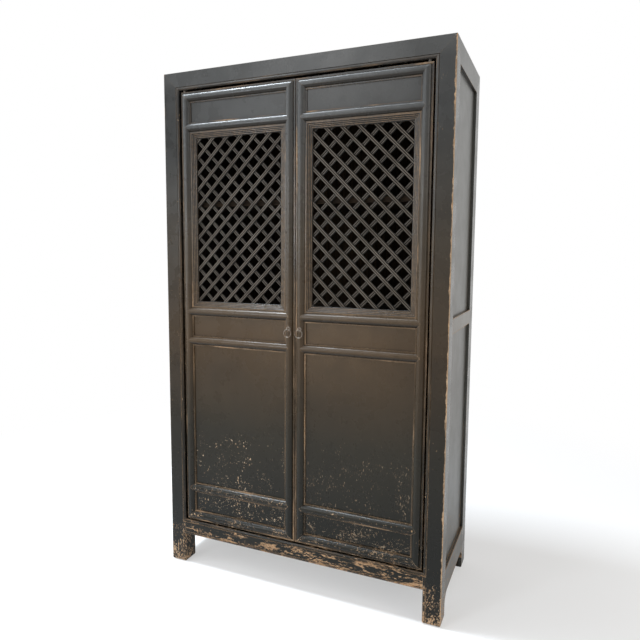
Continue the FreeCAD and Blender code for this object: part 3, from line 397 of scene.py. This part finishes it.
def bottom_rail_wear(finish):
    """Bare patches on the front bottom rail, more of them towards its underside and to the right."""
    streaks = finish.noise(60.0, 6.0, 0.7, stretch=(0.24, 1, 1), distortion=0.5)
    grains = finish.noise(230.0, 3.0, 0.6, stretch=(0.35, 1, 1), shift=(0.6, 0.1, 0.4))
    low = finish.span(finish.axis("z"), FRONT_RAIL_TOP, FRONT_RAIL_UNDERSIDE, -0.04, 0.06, smooth=False)
    right = finish.span(finish.axis("x"), -0.45, 0.35, -0.03, 0.02, smooth=False)
    level = finish.plus(finish.plus(streaks, finish.times(grains, 0.5)), finish.plus(low, right))
    return finish.span(level, 0.79, 0.85)


def post_outer_edge(finish):
    """A ragged line down the outer front edge of each front post, far thinner on the left one."""
    width = 0.0038
    raggedness = 0.0055
    thinner = finish.span(finish.axis("x"), 0.1, -0.1, 0.0, 0.0042)
    past_line = finish.minus(finish.minus(finish.aside(), CABINET_SIDE - width), thinner)
    ragged = finish.span(finish.noise(50.0, 6.0, 0.75, stretch=(1, 1, 0.45)), 0.38, 0.75)
    past_line = finish.plus(past_line, finish.times(ragged, raggedness))
    at_front = finish.below(finish.axis("y"), FRONT_FACE + 0.0065, 0.0035)
    return finish.times(finish.span(past_line, 0.0018, 0.0032), at_front)


def foot_wear(finish):
    """Speckles on the front legs, most of all near the floor."""
    specks = finish.noise(170.0, 4.0, 0.66, stretch=(1, 1, 0.65))
    patches = finish.noise(24.0, 4.0, 0.6, shift=(0.2, 0.6, 0.3))
    level = finish.plus(specks, finish.times(patches, 0.5))
    level = finish.plus(level, finish.span(finish.axis("z"), 0.24, 0.02, -0.16, 0.04, smooth=False))
    in_front = finish.span(finish.axis("y"), 0.1, -0.1)
    return finish.times(finish.span(level, 0.79, 0.83), in_front)


def chips(finish, count, kind, amount, top, bottom, shift=(0.5, 0.2, 0.9), strength=1.0):
    """Chips, count of them to a metre, in clusters that thicken from the height top down to bottom."""
    stretch, raggedness = kind
    spots = finish.noise(count, raggedness, 0.6, stretch=stretch, shift=shift)
    clusters = finish.span(finish.noise(13.0, 3.0, 0.6, shift=(0.9, 0.4, 0.2)), 0.36, 0.64)
    zone = finish.span(finish.axis("z"), top, bottom)
    level = finish.plus(spots, finish.times(clusters, 0.09))
    level = finish.plus(level, finish.times(zone, 0.10 * amount))
    return finish.times(finish.span(level, 0.775, 0.80, 0.0, strength), finish.span(zone, 0.0, 0.06))


def left_panel_chips(finish):
    return finish.most(chips(finish, 150.0, BLOBS, 0.36, 0.56, 0.32),
                       chips(finish, 240.0, BLOBS, 0.50, 0.60, 0.30, (0.1, 0.7, 0.3), 0.75))


def right_panel_chips(finish):
    return finish.most(chips(finish, 330.0, UPRIGHT_FLECKS, 0.85, 0.62, 0.36, strength=0.55),
                       chips(finish, 330.0, LEVEL_DASHES, 1.2, 0.285, 0.24, (0.3, 0.8, 0.1), 0.55))


def stile_chips(finish):
    return chips(finish, 260.0, UPRIGHT_FLECKS, 0.7, 0.45, 0.14, strength=0.7)


def door_rail_chips(finish):
    return finish.most(chips(finish, 190.0, BLOBS, 0.7, 0.50, 0.18),
                       chips(finish, 300.0, LEVEL_DASHES, 1.1, 0.42, 0.20, (0.3, 0.8, 0.1), 0.7))


def side_speckles(finish):
    return chips(finish, 230.0, UPRIGHT_FLECKS, 1.15, 0.46, 0.10)


def arris_wear(finish, grain, edge, reach):
    """Where the arrises are rubbed brown, and where they are worn through to the wood."""
    ragged = finish.noise(60.0, 6.0, 0.64, stretch=ALONG[grain])
    patches = finish.noise(9.0, 3.0, 0.5, shift=(0.3, 0.1, 0.7))
    low = finish.span(finish.axis("z"), 1.3, 0.15, 0.0, 0.16)
    level = finish.plus(finish.plus(ragged, finish.times(patches, 0.35)), low)
    edges = finish.edges(reach)
    rubbed = finish.times(edges, finish.span(level, 0.52, 0.80, 0.05, 0.65))
    bare = finish.times(edges, finish.above(level, 0.90 - 0.26 * edge, 0.10))
    return rubbed, bare


# Finishes


def lacquer(name, grain, edge=0.6, reach=0.0018, darker=0.0, rubbed=None, dark_pattern=None, bare=(),
            bare_fillets=False, paleness=0.5, dust=None, dirt_and_shade=0.7, gloss=(0.20, 0.32), shine=0.22, waves=4.0):
    """Black lacquer over wood, worn through on its arrises.

    The grain runs along the piece. edge is how much of the arrises is worn through, reach how far in
    from them, and darker a share of black laid over the colour. rubbed is a place laid over in rubbed
    brown, which is wear and in places also painted light, dark_pattern one that is darkened with dirt
    and painted shade, and bare lists the places where the lacquer is gone, whose wood has a paleness.
    dust is the colour of the dust on the outer faces, and dirt_and_shade how dark the corners are with
    dirt and painted shade. The faces that look down get painted shade. gloss is the least and the most
    roughness, shine how much the face reflects, and waves how uneven it is.
    """
    finish = Finish(name)
    inner = indoors(finish)
    colour = finish.blend(inner, lacquer_colour(finish, darker), inside_colour(finish, grain))
    if dust is not None:
        colour = finish.blend(side_dust(finish), colour, dust)
    # Painted shade on the faces that look down
    colour = finish.blend(shaded_undersides(finish), colour, UNDERSIDE_SHADE_BROWN)
    # Rubbed brown wear, which on the reed crests is also painted highlight and on the bead's turned-in faces
    # painted light
    if rubbed is not None:
        colour = finish.blend(rubbed(finish, grain), colour, RUBBED_BROWN)
    # A place darkened with dirt and painted shade, such as the valleys of the reeds
    if dark_pattern is not None:
        colour = finish.blend(dark_pattern(finish), colour, DIRT_AND_SHADE_BLACK)
    rubbed_arrises, gone = arris_wear(finish, grain, edge, reach)
    colour = finish.blend(rubbed_arrises, colour, RUBBED_BROWN)
    for place in bare:
        gone = finish.most(gone, place(finish))
    if bare_fillets:
        gone = finish.most(gone, worn_fillets(finish, grain))
    # Painted shade and dirt where other surfaces stand close
    colour = finish.blend(finish.times(finish.crevice_dirt_and_shade(0.012), dirt_and_shade), colour, DIRT_AND_SHADE_BLACK)
    colour = finish.blend(gone, colour, wood_colour(finish, grain, paleness))

    streaks = finish.noise(210.0, 4.0, 0.6, stretch=ALONG[grain])
    clouds = finish.noise(16.0, 4.0, 0.55)
    roughness = finish.plus(finish.span(clouds, 0.3, 0.7, *gloss), finish.times(streaks, 0.06))
    roughness = finish.plus(roughness, finish.times(gone, 0.35))
    roughness = finish.plus(roughness, finish.times(inner, 0.5))
    long_waves = finish.noise(7.0, 2.0, 0.4, stretch=ALONG[grain])
    uneven = finish.plus(finish.times(streaks, 0.4), finish.times(long_waves, waves))
    relief = finish.bump(gone, -0.55, 0.0005, under=finish.bump(uneven, 0.30, 0.0006))
    finish.set(Base_Color=colour, Roughness=roughness, Normal=relief, Specular_IOR_Level=shine)
    return finish.material


def lattice_lacquer(name, face, darker, dirt_and_shade):
    """The lacquer of a layer of bars: rubbed grey on its face and black in its grooves, darker by a share of
    black, and darkened with dirt and painted shade where other surfaces stand close.
    """
    finish = Finish(name)
    streaks = finish.noise(150.0, 5.0, 0.6)
    patches = finish.noise(11.0, 4.0, 0.6, shift=(0.4, 0.9, 0.1))
    grey = finish.blend(finish.span(patches, 0.35, 0.7, 0.0, 0.8), BAR_GREY, BAR_BROWN)
    grey = finish.blend(darker, grey, BLACK_LACQUER)
    inward = finish.span(finish.axis("y"), face + BAR_GROOVE_DEPTH * 0.05, face + BAR_GROOVE_DEPTH * 0.5)
    colour = finish.blend(inward, grey, BLACK_LACQUER)
    # Painted shade and dirt where other surfaces stand close
    colour = finish.blend(finish.times(finish.crevice_dirt_and_shade(0.014), dirt_and_shade), colour, DIRT_AND_SHADE_BLACK)
    rubbed = finish.times(finish.edges(0.0012), finish.span(streaks, 0.58, 0.68))
    colour = finish.blend(finish.times(rubbed, 0.6), colour, RUBBED_BROWN)
    finish.set(Base_Color=colour, Roughness=finish.span(streaks, 0.3, 0.7, 0.34, 0.5),
               Normal=finish.bump(streaks, 0.3, 0.0003), Specular_IOR_Level=0.2)
    return finish.material


def inside_wood(name, grain):
    finish = Finish(name)
    streaks = finish.noise(180.0, 5.0, 0.6, stretch=ALONG[grain])
    finish.set(Base_Color=inside_colour(finish, grain), Roughness=finish.span(streaks, 0.3, 0.7, 0.7, 0.85),
               Normal=finish.bump(streaks, 0.4, 0.0005), Specular_IOR_Level=0.1)
    return finish.material


def forged_iron(name):
    finish = Finish(name)
    pits = finish.noise(420.0, 5.0, 0.6)
    patches = finish.noise(130.0, 4.0, 0.6, shift=(0.4, 0.8, 0.1))
    colour = finish.blend(finish.span(patches, 0.45, 0.66), IRON, RUST)
    finish.set(Base_Color=colour, Roughness=finish.span(patches, 0.3, 0.7, 0.32, 0.6),
               Metallic=finish.span(patches, 0.42, 0.70, 0.85, 0.3),
               Normal=finish.bump(pits, 0.5, 0.0004))
    return finish.material


# What the finishes of the cabinet's outer sides have in common
DULL_SIDE = {"gloss": (0.30, 0.34), "shine": 0.30, "waves": 0.3, "bare": (side_speckles,)}

finishes = {
    "post": lacquer("post_lacquer", "upright", edge=0.75, darker=0.42, rubbed=opening_bead, dust=SIDE_DUST,
                    dirt_and_shade=0.4, bare=(post_outer_edge, foot_wear)),
    "front_rail": lacquer("top_front_rail_lacquer", "across", edge=0.6, rubbed=opening_bead),
    "side_rail": lacquer("side_rail_lacquer", "deep", edge=0.9, dust=SIDE_DUST, **DULL_SIDE),
    "side_mid_rail": lacquer("side_mid_rail_lacquer", "deep", edge=1.9, reach=0.0060, dust=RAIL_DUST,
                             **DULL_SIDE),
    "side_low_rail": lacquer("side_low_rail_lacquer", "deep", edge=1.8, reach=0.0070, dust=SIDE_DUST,
                             **DULL_SIDE),
    "bottom_rail": lacquer("bottom_front_rail_lacquer", "across", edge=1.1, rubbed=opening_bead,
                           paleness=0.25, bare=(bottom_rail_wear,)),
    "back_rail": lacquer("back_rail_lacquer", "across", edge=0.5, dust=SIDE_DUST),
    "back_panel": lacquer("back_panel_lacquer", "upright", edge=0.3, dust=SIDE_DUST, gloss=(0.55, 0.65),
                          shine=0.05),
    "side_panel": lacquer("side_panel_lacquer", "upright", edge=0.3, dust=SIDE_DUST, **DULL_SIDE),
    "stile": lacquer("door_stile_lacquer", "upright", edge=0.75, darker=0.1, rubbed=rubbed_fillets,
                     dirt_and_shade=0.4, bare_fillets=True, bare=(stile_chips,)),
    "door_rail": lacquer("door_rail_lacquer", "across", edge=0.8, rubbed=rubbed_fillets, dirt_and_shade=0.5,
                         bare_fillets=True, bare=(door_rail_chips,)),
    "left_panel": lacquer("left_door_panel_lacquer", "upright", edge=0.3, paleness=1.0,
                          bare=(left_panel_chips,)),
    "right_panel": lacquer("right_door_panel_lacquer", "upright", edge=0.3, paleness=0.9,
                           bare=(right_panel_chips,)),
    # The reed crests are rubbed brown and painted as highlight, and the valleys are darkened with dirt and
    # painted shade
    "lattice_frame": lacquer("lattice_frame_lacquer", "upright", edge=0.3, darker=0.3, rubbed=rubbed_and_lit_reed_crests,
                             dark_pattern=reed_valleys),
    "front_bars": lattice_lacquer("front_bars_lacquer", FRONT_BARS_FACE, darker=0.0, dirt_and_shade=0.6),
    # The back bars are painted darker, as the shade of the front bars on them
    "back_bars": lattice_lacquer("back_bars_lacquer", BACK_BARS_FACE, darker=0.3, dirt_and_shade=0.95),
    "inside": inside_wood("inside_wood", "across"),
    "iron": forged_iron("forged_iron"),
}

# Which finish each piece of the cabinet has, by its name or the end of its name
PIECE_FINISHES = {
    "post": "post", "top_front_rail": "front_rail", "top_rear_rail": "back_rail",
    "top_left_rail": "side_rail", "top_right_rail": "side_rail", "top_board": "back_rail",
    "bottom_front_rail": "bottom_rail", "bottom_rear_rail": "back_rail",
    "bottom_left_rail": "side_low_rail", "bottom_right_rail": "side_low_rail", "bottom_board": "inside",
    "left_mid_rail": "side_mid_rail", "right_mid_rail": "side_mid_rail", "back_mid_rail": "back_rail",
    "side_upper_panel": "side_panel", "side_lower_panel": "side_panel", "back_panels": "back_panel",
    "shelves": "inside", "shelf_bearers": "inside",
    "stile": "stile", "lattice_frame": "lattice_frame",
    "front_lattice_bars": "front_bars", "back_lattice_bars": "back_bars",
    "pull_plate": "iron", "pull_staple": "iron", "pull_ring": "iron",
}


def finish_of(name):
    for ending, finish in PIECE_FINISHES.items():
        if name.endswith(ending):
            return finish
    if name.endswith("panel"):
        return "left_panel" if name.startswith("left") else "right_panel"
    return "door_rail"


for name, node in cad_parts.items():
    node.data.materials.clear()
    node.data.materials.append(finishes[finish_of(name)])

# Iron pulls: a thin ring in the eye of a split pin, whose legs are bent back behind a small washer

QUARTER_TURN = math.pi / 2
RING_WIRE_RADIUS = 0.0014
RING_SLACK = 0.0010
WASHER_RADIUS = 0.0078
PIN_WIRE_RADIUS = 0.00115
EYE_SETBACK = 0.0065
EYE_RADIUS = 0.0053
NECK_SETBACK = 0.0040
LEG_LIFT = 0.00105
LEG_END_SETBACK = 0.0006
BENT_LEG_LENGTH = 0.0110
BENT_LEG_LIFT = 0.0062
BENT_LEG_SETBACK = 0.0010
BENT_LEG_ROOT_RADIUS = 0.0009
BENT_LEG_TIP_RADIUS = 0.0004

bpy.ops.object.select_all(action="DESELECT")


def shaped(add_primitive, axis, angle, place, **sizes):
    """A primitive with its turn and place in its mesh."""
    add_primitive(location=(0, 0, 0), **sizes)
    bpy.ops.object.mode_set(mode="EDIT")
    bpy.ops.mesh.select_all(action="SELECT")
    bpy.ops.transform.rotate(value=angle, orient_axis=axis, center_override=(0, 0, 0))
    bpy.ops.transform.translate(value=place)
    bpy.ops.object.mode_set(mode="OBJECT")
    return bpy.context.object


def finished(name, parts, body, node):
    """Parts joined into one iron piece, which rides a body and stands for a node."""
    bpy.ops.object.select_all(action="DESELECT")
    for part in parts:
        part.select_set(True)
    bpy.context.view_layer.objects.active = parts[0]
    if len(parts) > 1:
        bpy.ops.object.join()
    piece = bpy.context.object
    piece.name = name
    bpy.ops.object.shade_smooth_by_angle(angle=math.radians(40))
    piece.data.materials.clear()
    piece.data.materials.append(finishes["iron"])
    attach(piece, body)
    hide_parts(node)
    bpy.ops.object.select_all(action="DESELECT")


def middle(low, high):
    return (low + high) / 2


def ring(side):
    low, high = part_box(f"{side}_pull_ring")
    radius = (high.z - low.z) / 2 - RING_SLACK - RING_WIRE_RADIUS
    wire = shaped(bpy.ops.mesh.primitive_torus_add, "X", QUARTER_TURN, middle(low, high),
                  major_radius=radius, minor_radius=RING_WIRE_RADIUS, major_segments=56, minor_segments=12)
    finished(f"{side}_ring", [wire], f"{side}_pull_ring", f"{side}_pull_ring")


def washer(side):
    low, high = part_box(f"{side}_pull_plate")
    disc = shaped(bpy.ops.mesh.primitive_cylinder_add, "X", QUARTER_TURN, middle(low, high),
                  radius=WASHER_RADIUS, depth=high.y - low.y, vertices=32)
    finished(f"{side}_washer", [disc], f"{side}_door", f"{side}_pull_plate")


def split_pin(side):
    centre = middle(*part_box(f"{side}_pull_plate"))
    low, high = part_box(f"{side}_pull_staple")
    eye_y = low.y + EYE_SETBACK
    parts = [shaped(bpy.ops.mesh.primitive_torus_add, "Y", QUARTER_TURN, (centre.x, eye_y, centre.z),
                    major_radius=EYE_RADIUS - PIN_WIRE_RADIUS / 2, minor_radius=PIN_WIRE_RADIUS,
                    major_segments=32, minor_segments=10)]
    neck_y = eye_y + NECK_SETBACK
    leg_length = high.y - LEG_END_SETBACK - neck_y
    for lift in (-1, 1):
        leg_place = (centre.x, neck_y + leg_length / 2, centre.z + lift * LEG_LIFT)
        parts.append(shaped(bpy.ops.mesh.primitive_cylinder_add, "X", QUARTER_TURN, leg_place,
                            radius=PIN_WIRE_RADIUS, depth=leg_length, vertices=12))
        bent_place = (centre.x, high.y - BENT_LEG_SETBACK, centre.z + lift * BENT_LEG_LIFT)
        parts.append(shaped(bpy.ops.mesh.primitive_cone_add, "X", -QUARTER_TURN * (1 - lift), bent_place,
                            radius1=BENT_LEG_ROOT_RADIUS, radius2=BENT_LEG_TIP_RADIUS,
                            depth=BENT_LEG_LENGTH, vertices=12))
    finished(f"{side}_split_pin", parts, f"{side}_door", f"{side}_pull_staple")


for side in ("left", "right"):
    ring(side)
    washer(side)
    split_pin(side)

# Floor, pale and fading to white away from the cabinet

FLOOR_RADIUS = 14
FLOOR_DROP = 0.0005
FADE_START = 0.9
FADE_END = 2.6

bpy.ops.mesh.primitive_circle_add(vertices=96, radius=FLOOR_RADIUS, fill_type="NGON",
                                  location=(0, 0, -FLOOR_DROP))
floor = bpy.context.object
floor.name = "studio_floor"
pale = Finish("studio_floor")
pale.set(Base_Color=(0.8, 0.8, 0.8, 1), Roughness=0.9)
from_cabinet = pale.add("ShaderNodeVectorMath", {0: pale.place}, operation="LENGTH").outputs["Value"]
fade = pale.span(from_cabinet, FADE_START, FADE_END, 0.45, 1.0)
white = pale.add("ShaderNodeEmission", {"Color": (1, 1, 1, 1), "Strength": 1.0})
faded = pale.add("ShaderNodeMixShader", {
    0: pale.times(pale.seen(), fade), 1: pale.shader.outputs[0], 2: white.outputs[0]})
pale.feed(pale.tree.nodes["Material Output"].inputs["Surface"], faded.outputs[0])
floor.data.materials.append(pale.material)

# White surroundings, which shed less light than they show

SURROUNDING_LIGHT = 0.43

world = bpy.data.worlds.new("studio")
bpy.context.scene.world = world
world.use_nodes = True
surroundings = NodeTree(world.node_tree)
background = world.node_tree.nodes["Background"]
strength = surroundings.span(surroundings.seen(), 0, 1, SURROUNDING_LIGHT, 1.0, smooth=False)
surroundings.feed(background.inputs["Color"], (1, 1, 1, 1))
surroundings.feed(background.inputs["Strength"], strength)

# Soft lights, most of them from the front left and above

COOL = (0.84, 0.92, 1.0)
PALE_BLUE = (0.88, 0.94, 1.0)
PALE_AMBER = (1.0, 0.92, 0.82)
AMBER = (1.0, 0.74, 0.50)
CREAM = (1.0, 0.98, 0.94)


def softbox(name, place, target, size, power, colour=(1, 1, 1)):
    """A rectangular light that faces a target."""
    light = bpy.data.lights.new(name, "AREA")
    light.shape = "RECTANGLE"
    light.size, light.size_y = size
    light.energy = power
    light.color = colour
    lamp = bpy.data.objects.new(name, light)
    bpy.context.scene.collection.objects.link(lamp)
    lamp.location = place
    lamp.rotation_euler = (Vector(target) - Vector(place)).to_track_quat("-Z", "Y").to_euler()
    lamp.visible_camera = False


softbox("overhead_light", (-2.05, -0.45, 5.0), (-2.05, -0.45, 1.0), (1.0, 0.8), 270, COOL)
softbox("wide_overhead_light", (-1.9, -0.45, 5.05), (-1.9, -0.45, 1.0), (2.8, 0.7), 150, COOL)
softbox("sky_light", (-1.7, -1.9, 3.4), (-1.4, -0.9, 1.0), (1.4, 1.2), 16, PALE_BLUE)
softbox("window_light", (-1.67, -3.2, 1.6), (-0.05, -0.2, 1.3), (0.6, 0.9), 30, COOL)
softbox("front_light", (-1.2, -3.2, 3.1), (-0.2, 0, 1.2), (0.9, 1.0), 16)
softbox("warm_light", (-1.2, -3.2, 0.45), (0.1, -0.2, 0.9), (1.0, 0.7), 7, AMBER)
softbox("left_light", (-3.2, -1.6, 1.6), (0, 0, 0.9), (1.2, 2.4), 38, PALE_BLUE)
softbox("right_light", (3.0, -0.6, 2.0), (0.5, 0, 0.9), (1.4, 1.8), 28, PALE_AMBER)
softbox("back_light", (1.7, 4.2, 1.6), (0.5, 0, 0.9), (3.0, 3.2), 3, CREAM)

# Camera, as the photograph was taken: to the right of the cabinet's middle and a little above it

CAMERA_PLACE = (0.8576, -1.95535, 1.2019)
AZIMUTH = math.radians(23.001)
ELEVATION = math.radians(5.638)
ROLL = math.radians(0.459)

ahead = Vector((-math.sin(AZIMUTH) * math.cos(ELEVATION), math.cos(AZIMUTH) * math.cos(ELEVATION),
                -math.sin(ELEVATION)))
level_right = Vector((math.cos(AZIMUTH), math.sin(AZIMUTH), 0))
level_up = level_right.cross(ahead)
right = math.cos(ROLL) * level_right + math.sin(ROLL) * level_up
up = -math.sin(ROLL) * level_right + math.cos(ROLL) * level_up
turn = Matrix((right, up, -ahead)).transposed().to_4x4()

lens = bpy.data.cameras.new("photo_camera")
lens.sensor_width = 36
lens.lens = 31.925
lens.shift_x = -0.0097
lens.shift_y = -0.0145
camera = bpy.data.objects.new("photo_camera", lens)
bpy.context.scene.collection.objects.link(camera)
camera.matrix_world = Matrix.Translation(CAMERA_PLACE) @ turn
bpy.context.scene.camera = camera
bpy.context.scene.view_settings.view_transform = "Standard"
